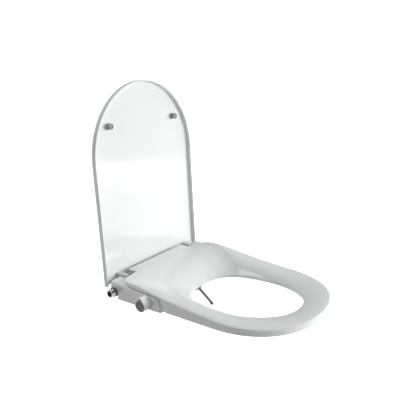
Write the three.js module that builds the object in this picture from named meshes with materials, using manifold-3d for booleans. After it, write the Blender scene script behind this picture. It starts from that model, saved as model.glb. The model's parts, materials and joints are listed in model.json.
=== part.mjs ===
// A water-pressure bidet seat: a slim base with a side knob and a water inlet, a closed seat ring,
// a lid and two sliding nozzles. Millimetres, +Z up, the sitting user faces -Y. The origin is on the
// underside of the base, midway between its two bowl-bolt slots.
import * as THREE from "three";
import { ParametricGeometry } from "three/addons/geometries/ParametricGeometry.js";
import { mergeVertices } from "three/addons/utils/BufferGeometryUtils.js";
import Module from "manifold-3d";

const wasm = await Module();
wasm.setup();

// ---- driving dimensions ----
const GAP = 0.3; // between pieces that touch
const WALL = 2.5; // moulded covers

const HINGE = { y: 14, z: 38, pinR: 3, bore: 3.3 };
const PIN_HOLE_R = HINGE.pinR + 0.05;
const SLEEVE = { wall: 2.4, end: 4, play: 0.4 }; // the hollow in a barrel or an arm that holds a damper
const SEAT_HINGE = { from: 84, to: 108, r: 9 }; // barrel under each side of the seat's tongue
const LID_HINGE = { from: 128, to: 143, r: 9 }; // arm on each side of the lid

const BASE = {
  halfWidth: 183,
  rear: 23,
  top: 43, // at the rear, falling to the front by slope
  slope: Math.tan(THREE.MathUtils.degToRad(3.6)),
  podFront: -138,
  shoulder: -121, // where the pod's top starts to curve down
  cutawayFrom: -2, // behind this the underside of the side cover is raised
  cutaway: 8,
  edge: 12, // rounding of the edge round each outer side
};
const CENTRE = { halfWidth: 112.7, front: -60, rear: 22, low: 16, high: 37, step: -8 };
const POD_INNER = 126;
const BRACKET = { halfLength: 94, halfWidth: 15, thick: 4.6, slotX: 70, slotR: 4.5, slotLength: 17 };

const SEAT = {
  halfWidth: 183.5,
  nose: -462,
  noseLength: 176,
  nosePower: 2.2,
  rear: -1,
  cornerR: 40,
  waist: 4, // how much narrower the seat is at its rear corners
  low: 20.8, // height of the top edge at the nose
  rise: 47.9, // how far it would rise over riseLength, were it not for the level deck
  riseLength: 490,
  deck: 50, // height of the rear deck
  wallBottom: 5,
  edgeR: 6, // rounding between the outer wall and the top
  dish: 2.4, // how late the top falls towards the hole
  shell: 3,
};
// The hole is widest at one place, and its rim is lower at the rear than at the front.
const HOLE = {
  halfWidth: 108.5,
  front: -403,
  widest: -262,
  rear: -128,
  frontPower: 2.17,
  rearPower: 2.7,
  frontHeight: 14.8,
  rearHeight: 8.2,
  frontRoll: 3, // radius between the dished top and the hole's face
  rearRoll: 7,
  frontLip: 10, // depth of the hole's face
  rearLip: 7,
};
const TONGUE = { halfWidth: 112, rear: 28 };
const SEAT_PADS = [
  [-142, -205, 25.6],
  [142, -205, 25.6],
  [-92, -392, 16.5],
  [92, -392, 16.5],
]; // x, y and the height to which each pad's boss reaches

const LID = {
  halfWidth: 187,
  length: 493,
  endLength: 188,
  depth: 14.2,
  panel: 3,
  rim: 3,
  lean: THREE.MathUtils.degToRad(3),
  bottom: { y: 40.3, z: 23.8 },
};
const LID_BUMPER = { x: 124, up: 391, r: 7.5, tall: 11.6 };

const KNOB = {
  y: -96.8,
  z: 17.2,
  faceX: -209,
  backX: -184.2,
  faceR: 14.8,
  backR: 15.2,
  lobeR: 4.6, // the lobe on top, which carries the pointer
  lobeFront: 17.2, // how far above the axis the lobe's round top is centred
  lobeBack: 15.6,
  pointerR: 2.8,
};
const INLET = { y: 10, z: 17, endX: -199.5, boreEnd: -188, threadR: 10.4, boreR: 7.5, neckR: 5.8, nutR: 12 };
const INLET_FLANGE = 0.6; // how far the flange inside the cover stands out from the neck
const INLET_SEAT_X = -176; // inner face of the boss through which the inlet's neck passes
const NOZZLE = {
  angle: THREE.MathUtils.degToRad(37.6), // below horizontal
  r: 4,
  tip: { y: -161.8, z: -44 }, // of the front nozzle, which is out
  frontX: 0,
  frontLength: 76,
  rearX: 13,
  rearLength: 52,
  rearBack: 61, // how far behind the front nozzle's tip the rear one's is, which is drawn in
};
const HOUSING = { from: 62, boreTo: 117, wall: 3 }; // along the nozzles, from the front one's tip
const GUARD = { reach: 47.1, thin: 2, halfWidth: 40, centreY: -70, bottom: -7.4, top: 9 };
const PORT_Z = { rear: 12, front: 20 };
const OUTLET_Z = { rear: 10.2, front: 16.8 };
const BASE_SCREWS = [
  [-104, 8],
  [104, 8],
  [-60, -29],
  [60, -29],
];

const SMOOTH = 16; // sides of an ordinary round piece
const SMALL = 8; // sides of a small one
const THIN = 0.02; // a slice that stands for an outline

// ---- materials ----
const plastic = (color, roughness) => new THREE.MeshStandardMaterial({ color, roughness, metalness: 0 });
const metal = (color, roughness) => new THREE.MeshStandardMaterial({ color, roughness, metalness: 1 });
const WHITE = plastic(0xf2f5f6, 0.12);
const LIGHT_GREY = plastic(0xd8dcdd, 0.25);
const DARK_GREY = plastic(0x6b6e70, 0.4);
const BLACK = plastic(0x26282a, 0.5);
const RUBBER = plastic(0xa9adae, 0.7);
const HOSE = plastic(0xdfe3e4, 0.35);
const STEEL = metal(0xb9bcbe, 0.3);

// ---- solids ----
function solid(geometry) {
  const bare = geometry.index ? geometry.toNonIndexed() : geometry.clone();
  bare.deleteAttribute("normal");
  bare.deleteAttribute("uv");
  const merged = mergeVertices(bare, 1e-4);
  const mesh = new wasm.Mesh({
    numProp: 3,
    vertProperties: new Float32Array(merged.attributes.position.array),
    triVerts: new Uint32Array(merged.index.array),
  });
  mesh.merge();
  return new wasm.Manifold(mesh);
}

function geometryOf(made) {
  const mesh = made.getMesh();
  return new THREE.BufferGeometry()
    .setAttribute("position", new THREE.BufferAttribute(mesh.vertProperties, 3))
    .setIndex(new THREE.BufferAttribute(mesh.triVerts, 1));
}

const join = (first, ...rest) => rest.reduce((all, next) => all.add(next), first);
const cut = (first, ...rest) => rest.reduce((left, next) => left.subtract(next), first);

function box([x0, x1], [y0, y1], [z0, z1]) {
  return solid(
    new THREE.BoxGeometry(x1 - x0, y1 - y0, z1 - z0).translate((x0 + x1) / 2, (y0 + y1) / 2, (z0 + z1) / 2),
  );
}

// A cylinder along X, Y or Z between two places on that axis; the other two coordinates are its centre.
function rod(axis, [from, to], [a, b], r, sides = SMOOTH) {
  const g = new THREE.CylinderGeometry(r, r, to - from, sides);
  const middle = (from + to) / 2;
  if (axis === "x") g.rotateZ(-Math.PI / 2).translate(middle, a, b);
  if (axis === "y") g.translate(a, middle, b);
  if (axis === "z") g.rotateX(Math.PI / 2).translate(a, b, middle);
  return solid(g);
}

const shapeOf = (points) => new THREE.Shape(points.map(([a, b]) => new THREE.Vector2(a, b)));

// An outline in (y, z) swept along X.
const SIDE_VIEW = new THREE.Matrix4().makeBasis(
  new THREE.Vector3(0, 1, 0),
  new THREE.Vector3(0, 0, 1),
  new THREE.Vector3(1, 0, 0),
);
function acrossX(shape, [x0, x1]) {
  const g = new THREE.ExtrudeGeometry(shape, { depth: x1 - x0, curveSegments: 6, bevelEnabled: false });
  return solid(g.translate(0, 0, x0).applyMatrix4(SIDE_VIEW));
}

// An outline in (x, z) swept along Y.
function alongY(shape, [y0, y1]) {
  const g = new THREE.ExtrudeGeometry(shape, { depth: y1 - y0, bevelEnabled: false });
  return solid(g.rotateX(Math.PI / 2).translate(0, y1, 0));
}

// An outline in (x, y) raised along Z.
function upright(shape, [z0, z1], segments = 3) {
  const depth = z1 - z0;
  const g = new THREE.ExtrudeGeometry(shape, { depth, bevelEnabled: false, curveSegments: segments });
  return solid(g.translate(0, 0, z0));
}

function roundedRectangle(x0, x1, y0, y1, r) {
  const s = new THREE.Shape();
  s.moveTo(x0 + r, y0);
  s.lineTo(x1 - r, y0).absarc(x1 - r, y0 + r, r, -Math.PI / 2, 0);
  s.lineTo(x1, y1 - r).absarc(x1 - r, y1 - r, r, 0, Math.PI / 2);
  s.lineTo(x0 + r, y1).absarc(x0 + r, y1 - r, r, Math.PI / 2, Math.PI);
  s.lineTo(x0, y0 + r).absarc(x0 + r, y0 + r, r, Math.PI, 1.5 * Math.PI);
  return s;
}

// A profile of [along, radius] points turned about a line parallel to X.
function turnedX(profile, y, z, sides = SMOOTH) {
  const points = profile.map(([along, r]) => new THREE.Vector2(r, along));
  return solid(new THREE.LatheGeometry(points, sides).rotateZ(-Math.PI / 2).translate(0, y, z));
}

function hoseAlong(points, r, steps) {
  const path = new THREE.CatmullRomCurve3(points.map((p) => new THREE.Vector3(...p)));
  const section = new THREE.Shape().absarc(0, 0, r, 0, 2 * Math.PI);
  return new THREE.ExtrudeGeometry(section, { steps, extrudePath: path, curveSegments: 4 });
}

const object = new THREE.Group();
const mirrored = (made) => made.mirror([1, 0, 0]);

function add(name, made, material, parent = object) {
  const geometry = made.isBufferGeometry ? made : geometryOf(made);
  const mesh = new THREE.Mesh(geometry, material);
  mesh.name = name;
  parent.add(mesh);
}

// The same piece on both sides, modelled on the -X side; the user's right is the object's -X side.
function addPair(name, made, material, parent = object) {
  add(name + "_right", made, material, parent);
  add(name + "_left", mirrored(made), material, parent);
}

// ---- base ----
const baseTop = (y) => BASE.top - (BASE.rear - y) * BASE.slope;

// Side outline of the base, shrunk by a wall. It reaches far below the base, which is then cut flat.
function sideOutline(wall) {
  const rear = BASE.rear - wall;
  const front = BASE.podFront + wall;
  const shoulder = BASE.shoulder + 0.7 * wall;
  const s = new THREE.Shape();
  s.moveTo(rear, -20);
  s.lineTo(rear, baseTop(rear) - wall - 3);
  s.quadraticCurveTo(rear, baseTop(rear) - wall, rear - 3, baseTop(rear - 3) - wall);
  s.lineTo(shoulder, baseTop(shoulder) - wall);
  s.bezierCurveTo(front + 7, baseTop(shoulder) - wall - 3, front, 20, front, 2);
  s.lineTo(front, -20);
  return s;
}

function slopedRoof(drop) {
  return shapeOf([
    [-167, 37 - drop],
    [-167, 60],
    [-100, 60],
    [-100, 12.2 - drop],
  ]);
}

// The side outline as a block out to the base's side, with the edge round that side rounded.
function sideBlock(wall, inner) {
  const side = -BASE.halfWidth + wall;
  const r = BASE.edge - wall;
  const slices = [acrossX(sideOutline(wall), [inner - THIN, inner])];
  const steps = 4;
  for (let i = 0; i <= steps; i++) {
    const t = (i / steps) * (Math.PI / 2);
    const x = side + r * (1 - Math.sin(t));
    slices.push(acrossX(sideOutline(wall + r * (1 - Math.cos(t))), [x, x + THIN]));
  }
  return wasm.Manifold.hull(slices);
}

function sideCover() {
  const outer = cut(
    sideBlock(0, -CENTRE.halfWidth - GAP),
    box([-200, 0], [-200, 50], [-40, 0]),
    box([-200, 0], [BASE.cutawayFrom, 50], [-40, BASE.cutaway]),
    box([-POD_INNER, 0], [-200, CENTRE.front], [-40, 80]),
    alongY(slopedRoof(0), [-150, CENTRE.front]),
  );
  const inside = cut(
    sideBlock(WALL, 0),
    alongY(slopedRoof(WALL), [-150, CENTRE.front + WALL]),
    box([-POD_INNER - WALL, 0], [-200, CENTRE.front + WALL], [-40, 80]),
    // ribs beside and under the lid arm's slot
    box([-LID_HINGE.to - 4, 0], [-8.5, 50], [17, 80]),
    // wall above the raised underside
    box([-200, 0], [BASE.cutawayFrom - WALL, 50], [-40, BASE.cutaway + WALL]),
    // boss for the hinge pin
    box([-BASE.halfWidth, 0], [4, 50], [32.9, 80]),
  );
  // open for the lid's arm, with a wall left behind the gap between the arm and the seat's tongue
  const wallFrom = -LID_HINGE.from + 1.5;
  const slot = join(
    box([-LID_HINGE.to - 1.3, wallFrom], [-6, 50], [19.5, 80]),
    box([wallFrom - 1, 0], [-6, 18.2], [19.5, 80]),
    box([wallFrom - 1, 0], [-6, 50], [40.5, 80]),
  );
  const pinHole = rod("x", [-174, -120], [HINGE.y, HINGE.z], PIN_HOLE_R);
  return cut(outer, inside, slot, pinHole);
}

const CONTROL_SIDE_HOLES = [
  rod("x", [-190, -175], [KNOB.y, KNOB.z], 6),
  rod("x", [-190, -175], [INLET.y, INLET.z], INLET.neckR + GAP),
];

function addSideCovers() {
  const screwHole = (x, y) => rod("z", [2, 12], [x, y], 1.3, SMALL);
  const boss = (x, y) => rod("z", [3.4, baseTop(y) - 1.2], [x, y], 4, SMALL);
  const places = [
    [-172, -70],
    [-134, -47],
  ];
  let cover = sideCover();
  for (const [x, y] of places) cover = join(cover, boss(x, y)).subtract(screwHole(x, y));
  // flat seat for the inlet's nut, where the side's edge is rounded
  const inletSeat = rod("x", [-BASE.halfWidth, INLET_SEAT_X], [INLET.y, INLET.z], INLET.nutR);
  add("control_side_cover", cut(join(cover, inletSeat), ...CONTROL_SIDE_HOLES), WHITE);
  add("plain_side_cover", mirrored(cover), WHITE);

  let plate = upright(roundedRectangle(-180.2, -POD_INNER - WALL - GAP, -135.2, -5.2, 3), [0.4, 3]);
  plate = join(plate, upright(roundedRectangle(-132, -CENTRE.halfWidth - GAP, -57.2, -5.2, 2), [0.4, 3]));
  for (const [x, y] of places) plate = cut(plate, ...screwHoles(x, y, 2.1));
  addPair("side_plate", plate.intersect(sideBlock(WALL + GAP, 0)), LIGHT_GREY);
  places.forEach(([x, y], i) => addPair("side_screw_" + (i + 1), screw(x, y, 0.6), STEEL));
}

// A countersunk place for a screw whose head ends at the height given.
const screwHoles = (x, y, headTop) => [
  rod("z", [-1, 10], [x, y], 1.7, SMALL),
  rod("z", [-1, headTop], [x, y], 3.3, SMALL),
];

function screw(x, y, bottom) {
  const head = rod("z", [bottom, bottom + 1.3], [x, y], 2.8, SMALL);
  return join(head, rod("z", [bottom + 1, bottom + 10], [x, y], 1.2, SMALL));
}

function centreCover() {
  const outline = (wall) =>
    shapeOf([
      [CENTRE.rear - wall, wall ? -5 : 0],
      [CENTRE.rear - wall, CENTRE.low - wall],
      [CENTRE.step - wall, CENTRE.low - wall],
      [CENTRE.step - wall, CENTRE.high - wall],
      [CENTRE.front + 9, CENTRE.high - wall - 1.5],
      [CENTRE.front + wall, CENTRE.high - wall - 7],
      [CENTRE.front + wall, wall ? -5 : 0],
    ]);
  const across = [-CENTRE.halfWidth, CENTRE.halfWidth];
  let cover = cut(acrossX(outline(0), across), acrossX(outline(WALL), [-200, 200]));
  for (const side of [-1, 1]) {
    const at = [side * 109.6, side * 112.7].sort((a, b) => a - b);
    const ear = join(
      box(at, [HINGE.y - 6, HINGE.y + 6], [CENTRE.low - 1, HINGE.z]),
      rod("x", at, [HINGE.y, HINGE.z], 6),
    );
    const pinHole = rod("x", [at[0] - 5, at[1] + 5], [HINGE.y, HINGE.z], PIN_HOLE_R);
    cover = join(cover, ear).subtract(pinHole);
  }
  for (const [x, y] of BASE_SCREWS) {
    cover = join(cover, rod("z", [8.6, y > CENTRE.step ? 15 : 35], [x, y], 4, SMALL));
    cover = cover.subtract(rod("z", [5, 13], [x, y], 1.3, SMALL));
  }
  const ports = PORTS.map(([x, z]) => rod("y", [-63, -55], [x, z], 4, SMALL));
  return cut(cover, ...ports);
}

// Where each nozzle's hose comes through the centre cover.
const PORTS = [
  [NOZZLE.frontX, PORT_Z.front],
  [NOZZLE.rearX, PORT_Z.rear],
];

function basePlate() {
  const lower = upright(roundedRectangle(-112, 112, -57.2, 19.2, 3), [0.4, 3]);
  const upper = box([-108, 108], [-33, 16.5], [2, 8.3]);
  const { halfLength, halfWidth, thick, slotX } = BRACKET;
  const place = box([-halfLength - GAP, halfLength + GAP], [-18, 18], [-1, thick + GAP]);
  let plate = cut(join(lower, upper), place);
  // stops that keep the bracket in the middle of its place
  const stop = (from, to) => box([-3, 3], [from, to], [0.4, 6]);
  plate = join(plate, stop(halfWidth + GAP, 18.5), stop(-18.5, -halfWidth - GAP));
  for (const side of [-1, 1]) {
    const window = roundedRectangle(side * slotX - 12, side * slotX + 12, -11, 11, 5);
    plate = plate.subtract(upright(window, [3, 10]));
  }
  for (const [x, y] of BASE_SCREWS) {
    plate = cut(plate, ...screwHoles(x, y, 3.2));
  }
  return plate;
}

function addBase() {
  addSideCovers();
  add("centre_cover", centreCover(), WHITE);
  add("base_plate", basePlate(), LIGHT_GREY);
  BASE_SCREWS.forEach(([x, y], i) => add("base_screw_" + (i + 1), screw(x, y, 1.6), STEEL));

  const { halfLength, halfWidth, thick, slotX, slotR, slotLength } = BRACKET;
  let bracket = upright(roundedRectangle(-halfLength, halfLength, -halfWidth, halfWidth, 4), [0, thick]);
  for (const side of [-1, 1]) {
    const slot = roundedRectangle(
      side * slotX - slotLength / 2,
      side * slotX + slotLength / 2,
      -slotR,
      slotR,
      slotR - 0.01,
    );
    bracket = bracket.subtract(upright(slot, [-1, thick + 1]));
  }
  add("mounting_bracket", bracket, STEEL);

  addPair("hinge_pin", rod("x", [-172, -SEAT_HINGE.from - 2], [HINGE.y, HINGE.z], HINGE.pinR), STEEL);
}

// ---- water path ----
function addWaterPath() {
  const wall = -BASE.halfWidth;
  const { boreR, threadR, endX, boreEnd, neckR } = INLET;
  const connector = turnedX(
    [
      [endX, boreR],
      [endX, threadR - 1],
      [endX + 1, threadR],
      [wall - 4.4, threadR],
      [wall - 4.4, neckR],
      [INLET_SEAT_X + GAP, neckR],
      [INLET_SEAT_X + GAP, neckR + INLET_FLANGE],
      [INLET_SEAT_X + 3, neckR + INLET_FLANGE],
      [INLET_SEAT_X + 3, 5],
      [-163, 4],
      [-163, 2.2],
      [boreEnd, 2.2],
      [boreEnd, boreR],
      [endX, boreR],
    ],
    INLET.y,
    INLET.z,
  );
  add("inlet_connector", connector, STEEL);
  const nut = cut(
    rod("x", [wall - 4, wall - GAP], [INLET.y, INLET.z], INLET.nutR),
    rod("x", [wall - 6, wall + 1], [INLET.y, INLET.z], neckR + GAP),
  );
  add("inlet_nut", nut, BLACK);
  add("filter_screen", rod("x", [boreEnd - 1.6, boreEnd - GAP], [INLET.y, INLET.z], boreR - GAP), STEEL);

  const { y, z } = KNOB;
  let valve = join(
    rod("x", [-177, -157], [y, z], 8.4),
    box([-158, -146], [y - 9, y + 9], [6, 23.5]),
    rod("y", [y + 5, -85.3], [-160, 17], 3.4, SMALL),
    rod("x", [-147, -142], [y, OUTLET_Z.front], 2.4, SMALL),
    rod("x", [-147, -142], [y, OUTLET_Z.rear], 2.4, SMALL),
  );
  valve = valve.subtract(rod("x", [-178, -168], [y, z], 4.3, SMALL));
  add("valve_body", valve, DARK_GREY);

  const inletHose = [
    [-162.6, 10, 17],
    [-160.5, 10, 17],
    [-156.5, 8, 16.4],
    [-153, 0, 15.6],
    [-152.5, -25, 15.8],
    [-156, -55, 16.6],
    [-160, -75, 17],
    [-160, -85, 17],
  ];
  add("inlet_hose", hoseAlong(inletHose, 3.2, 26), HOSE);

  const washHose = (outletZ, x, portZ) => [
    [-141.4, y, outletZ],
    [-138.4, y + 0.8, outletZ],
    [-135, y + 6, outletZ],
    [-133.8, y + 20, outletZ],
    [-133.2, -66, outletZ],
    [-128, -51, outletZ],
    [-108, -42.5, outletZ],
    [x - 28, -41, outletZ],
    [x - 6, -43.5, portZ],
    [x, -52, portZ],
    [x, -64, portZ],
  ];
  const frontPath = washHose(OUTLET_Z.front, NOZZLE.frontX, PORT_Z.front);
  const rearPath = washHose(OUTLET_Z.rear, NOZZLE.rearX, PORT_Z.rear);
  add("front_wash_hose", hoseAlong(frontPath, 2.4, 26), HOSE);
  add("rear_wash_hose", hoseAlong(rearPath, 2.4, 26), HOSE);
}

// ---- knob ----
function addKnob() {
  const { y, z, faceX, backX, faceR, backR, lobeR, lobeFront, lobeBack, pointerR } = KNOB;
  const body = turnedX(
    [
      [faceX, 0],
      [faceX, faceR - 0.6],
      [faceX + 0.6, faceR],
      [backX - 2, backR],
      [backX, backR],
      [backX, 0],
      [faceX, 0],
    ],
    y,
    z,
    20,
  );
  const front = [faceX + 0.6, faceX + 1.6];
  const back = [backX - 1, backX];
  const lobe = wasm.Manifold.hull([
    rod("x", front, [y, z], faceR - 0.5, 20),
    rod("x", back, [y, z], backR - 0.5, 20),
    rod("x", front, [y, z + lobeFront], lobeR),
    rod("x", back, [y, z + lobeBack], lobeR),
  ]);
  const hub = rod("x", [backX - 9, backX + 2], [y, z], 6);
  const hollow = cut(rod("x", [backX - 8, backX + 1], [y, z], backR - 3.5, 20), hub);
  // a disc with a round-ended pointer above it
  const pointer = ([x0, x1], discR, halfWidth) =>
    join(
      rod("x", [x0, x1], [y, z], discR, 20),
      box([x0, x1], [y - halfWidth, y + halfWidth], [z + faceR - 4, z + faceR]),
      rod("x", [x0, x1], [y, z + faceR], halfWidth),
    );
  const recess = pointer([faceX - 1, faceX + 2], faceR - 1.6, pointerR + GAP);
  const spindleHole = rod("x", [backX - 16, backX + 2], [y, z], 3.2, SMALL);
  add("knob", cut(join(body, lobe), recess, hollow, spindleHole), LIGHT_GREY);
  add("knob_cap", pointer([faceX + 0.4, faceX + 1.7], faceR - 1.9, pointerR), DARK_GREY);
  add("knob_spindle", rod("x", [backX - 15, -168.4], [y, z], 3, SMALL), STEEL);
}

// ---- nozzles ----
// Built lying along -Y from the tip at the origin, then tilted and moved to where the tip is.
function nozzleFrame(x, back) {
  const { angle, tip } = NOZZLE;
  const frame = new THREE.Group();
  frame.rotation.x = angle;
  frame.position.set(x, tip.y + back * Math.cos(angle), tip.z + back * Math.sin(angle));
  object.add(frame);
  return frame;
}

function addNozzle(name, x, back, length) {
  const frame = nozzleFrame(x, back);
  const { r } = NOZZLE;
  const neck = 2.6;
  const tube = cut(
    join(rod("y", [9, length], [0, 0], r), rod("y", [4, 10], [0, 0], neck, 16)),
    rod("y", [14, length + 1], [0, 0], r - 1.2, SMALL),
  );
  add(name, tube, STEEL, frame);
  const tip = cut(
    join(rod("y", [0.6, 8.7], [0, 0], r), rod("y", [0, 1], [0, 0], r - 0.6)),
    rod("y", [3.7, 9.5], [0, 0], neck + 0.3, 16),
    rod("z", [1, 6], [0, 3.2], 0.6, 8),
    rod("z", [1, 6], [1.6, 3.2], 0.4, 8),
    rod("z", [1, 6], [-1.6, 3.2], 0.4, 8),
  );
  add(name + "_tip", tip, DARK_GREY, frame);
}

const alongNozzle = (s) => NOZZLE.tip.y + s * Math.cos(NOZZLE.angle);
const nozzleHeight = (y) => NOZZLE.tip.z + (y - NOZZLE.tip.y) * Math.tan(NOZZLE.angle);

function nozzleHousing() {
  const { r, angle, rearX, frontX } = NOZZLE;
  const upper = (r + HOUSING.wall) / Math.cos(angle);
  const front = alongNozzle(HOUSING.from);
  const rear = CENTRE.front - GAP;
  const roof = (y) => Math.min(nozzleHeight(y) + upper, seatUnderside(y) - 1.2);
  const outline = shapeOf(
    [
      [front, nozzleHeight(front) - upper],
      [-79, 4],
      [rear, 4],
      [rear, roof(rear)],
      [-70, roof(-70)],
      [-78, roof(-78)],
      [front, roof(front)],
    ].reverse(),
  );
  let housing = acrossX(outline, [frontX - r - HOUSING.wall, rearX + r + HOUSING.wall]);
  for (const x of [frontX, rearX]) {
    const bore = rod("y", [HOUSING.from - 12, HOUSING.boreTo], [0, 0], r + 0.35);
    const tilt = new THREE.Matrix4()
      .makeTranslation(x, NOZZLE.tip.y, NOZZLE.tip.z)
      .multiply(new THREE.Matrix4().makeRotationX(angle));
    housing = housing.subtract(bore.transform(tilt.elements));
  }
  return cut(housing, ...PORTS.map(([x, z]) => rod("y", [-65, -55], [x, z], 2.8, SMALL)));
}

// A thin hood, curved in plan, that shields the nozzle outlets; each nozzle comes out through a notch.
function nozzleGuard() {
  const { reach, thin, halfWidth, centreY, bottom, top } = GUARD;
  const { r, rearX, frontX } = NOZZLE;
  const middle = (rearX + frontX) / 2;
  const arc = Math.asin(halfWidth / reach);
  const hood = new THREE.Shape();
  hood.absarc(middle, centreY, reach, -Math.PI / 2 - arc, -Math.PI / 2 + arc);
  hood.absarc(middle, centreY, reach - thin, -Math.PI / 2 + arc, -Math.PI / 2 - arc, true);
  let guard = upright(hood, [bottom, top], 10);
  const y = centreY - reach;
  const arch = nozzleHeight(y) + 3.2;
  for (const x of [frontX, rearX]) {
    guard = cut(
      guard,
      box([x - r - 0.6, x + r + 0.6], [y - 3, y + 6], [-20, arch]),
      rod("y", [y - 3, y + 6], [x, arch], r + 0.6),
    );
  }
  return guard;
}

function addNozzles() {
  const { frontX, frontLength, rearX, rearBack, rearLength } = NOZZLE;
  addNozzle("front_nozzle", frontX, 0, frontLength);
  addNozzle("rear_nozzle", rearX, rearBack, rearLength);
  add("nozzle_housing", nozzleHousing(), DARK_GREY);
  add("nozzle_guard", nozzleGuard(), LIGHT_GREY);
}

// ---- seat ----
function superellipse(t, a, b, power) {
  const c = Math.cos(t);
  const s = Math.sin(t);
  return [a * Math.sign(c) * Math.abs(c) ** (2 / power), b * Math.sign(s) * Math.abs(s) ** (2 / power)];
}

// Half of the seat's outline in plan, from the nose round the +X side to the middle of the rear edge.
function seatOutline() {
  const points = [];
  const { halfWidth, nose, noseLength, nosePower, rear, cornerR, waist } = SEAT;
  const widest = nose + noseLength;
  for (let i = 0; i <= 24; i++) {
    const [x, y] = superellipse(-Math.PI / 2 + (i / 24) * (Math.PI / 2), halfWidth, noseLength, nosePower);
    points.push(new THREE.Vector2(x, widest + y));
  }
  const corner = rear - cornerR - 4;
  for (let i = 1; i <= 8; i++) {
    const y = widest + (i / 8) * (corner - widest);
    points.push(new THREE.Vector2(halfWidth - waist * (i / 8) ** 2, y));
  }
  const x = halfWidth - waist - cornerR;
  for (let i = 1; i <= 8; i++) {
    const t = (i / 8) * (Math.PI / 2);
    points.push(new THREE.Vector2(x + cornerR * Math.cos(t), corner + (cornerR + 2) * Math.sin(t)));
  }
  points.push(new THREE.Vector2(TONGUE.halfWidth, rear), new THREE.Vector2(0, rear));
  return new THREE.Path(points);
}

function holeOutline() {
  const { halfWidth, front, widest, rear, frontPower, rearPower } = HOLE;
  const points = [];
  for (let i = 0; i <= 48; i++) {
    const t = -Math.PI / 2 + (i / 48) * Math.PI;
    const [length, power] = t < 0 ? [widest - front, frontPower] : [rear - widest, rearPower];
    const [x, y] = superellipse(t, halfWidth, length, power);
    points.push(new THREE.Vector2(Math.abs(x), widest + y));
  }
  return new THREE.Path(points);
}

// Height of the seat's top edge: low at the nose, rising in a curve to the level rear deck.
function edgeHeight(y) {
  const { low, rise, riseLength, nose, deck } = SEAT;
  const rising = low + rise * Math.max(0, (y - nose) / riseLength) ** 2.4;
  const soft = 2.2;
  return -soft * Math.log(Math.exp(-rising / soft) + Math.exp(-deck / soft));
}

// A value that changes evenly from the hole's front to its rear.
const alongHole = (y, atFront, atRear) =>
  THREE.MathUtils.lerp(atFront, atRear, (y - HOLE.front) / (HOLE.rear - HOLE.front));

// Underside of the seat's outer wall: low at the front, and lifted over the base's pods.
function wallBottom(y) {
  const over = (place) => baseTop(place) + 1.6;
  const start = BASE.podFront - 6;
  const end = BASE.shoulder - 4;
  if (y < start) return SEAT.wallBottom;
  if (y > end) return over(y);
  const t = (y - start) / (end - start);
  return SEAT.wallBottom + (over(end) - SEAT.wallBottom) * Math.sqrt(1 - (1 - t) ** 2);
}

// Section of the seat from a place on its outline to the place across from it on the hole. The points
// run from the outer wall's foot, over the top to the hole's lip, and back underneath. Each is
// [share of the way to the hole, mm added inward, height].
function seatSection(outer, hole) {
  const { shell, edgeR, dish } = SEAT;
  const edge = edgeHeight(outer.y);
  const foot = wallBottom(outer.y);
  const rim = alongHole(hole.y, HOLE.frontHeight, HOLE.rearHeight);
  const roll = alongHole(hole.y, HOLE.frontRoll, HOLE.rearRoll);
  const lip = rim - alongHole(hole.y, HOLE.frontLip, HOLE.rearLip);
  const top = (share) => edge - (edge - rim) * share ** dish;
  const shares = [0.2, 0.4, 0.57, 0.72, 0.86];
  const bevel = edgeR * (1 - Math.SQRT1_2);
  // the roll turns from the slope of the top to upright
  const slope = Math.atan((dish * (edge - rim)) / outer.distanceTo(hole));
  const half = (slope + Math.PI / 2) / 2;
  return [
    [0, 0, foot],
    [0, 0, edge - edgeR],
    [0, bevel, edge - bevel],
    [0, edgeR, edge],
    ...shares.map((share) => [share, 0, top(share)]),
    [1, -roll * (1 - Math.sin(slope)), rim],
    [1, -roll * (1 - Math.sin(half)), rim - roll * (Math.cos(slope) - Math.cos(half))],
    [1, 0, rim - roll * Math.cos(slope)],
    [1, 0, lip],
    [1, -2.6, lip],
    [1, -4.6, rim - shell],
    ...shares.reverse().map((share) => [share, 0, top(share) - shell]),
    [0, shell + 1.5, edge - shell],
    [0, shell, foot],
  ];
}

// Height of the seat's underside on its centre line, behind the hole.
function seatUnderside(y) {
  const share = (SEAT.rear - y) / (SEAT.rear - HOLE.rear);
  return SEAT.deck - (SEAT.deck - HOLE.rearHeight) * share ** SEAT.dish - SEAT.shell;
}

function seatRing() {
  const slices = 64;
  const outer = seatOutline();
  const hole = holeOutline();
  const corners = seatSection(outer.getPointAt(0), hole.getPointAt(0)).length;
  const at = (u, v, target) => {
    const around = Math.round(u * slices) % slices;
    const share = around <= slices / 2 ? (2 * around) / slices : 2 - (2 * around) / slices;
    const side = around <= slices / 2 ? 1 : -1;
    const o = outer.getPointAt(share);
    const h = hole.getPointAt(share);
    const inward = h.clone().sub(o);
    const [part, extra, z] = seatSection(o, h)[Math.round(v * corners) % corners];
    const p = o.clone().addScaledVector(inward, part + extra / inward.length());
    target.set(side * p.x, p.y, z);
  };
  return solid(new ParametricGeometry(at, slices, corners));
}

// A sleeve round the hinge pin that slows the seat or the lid.
function damper([from, to], r) {
  const { y, z, bore } = HINGE;
  return cut(rod("x", [from, to], [y, z], r), rod("x", [from - 1, to + 1], [y, z], bore));
}

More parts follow.
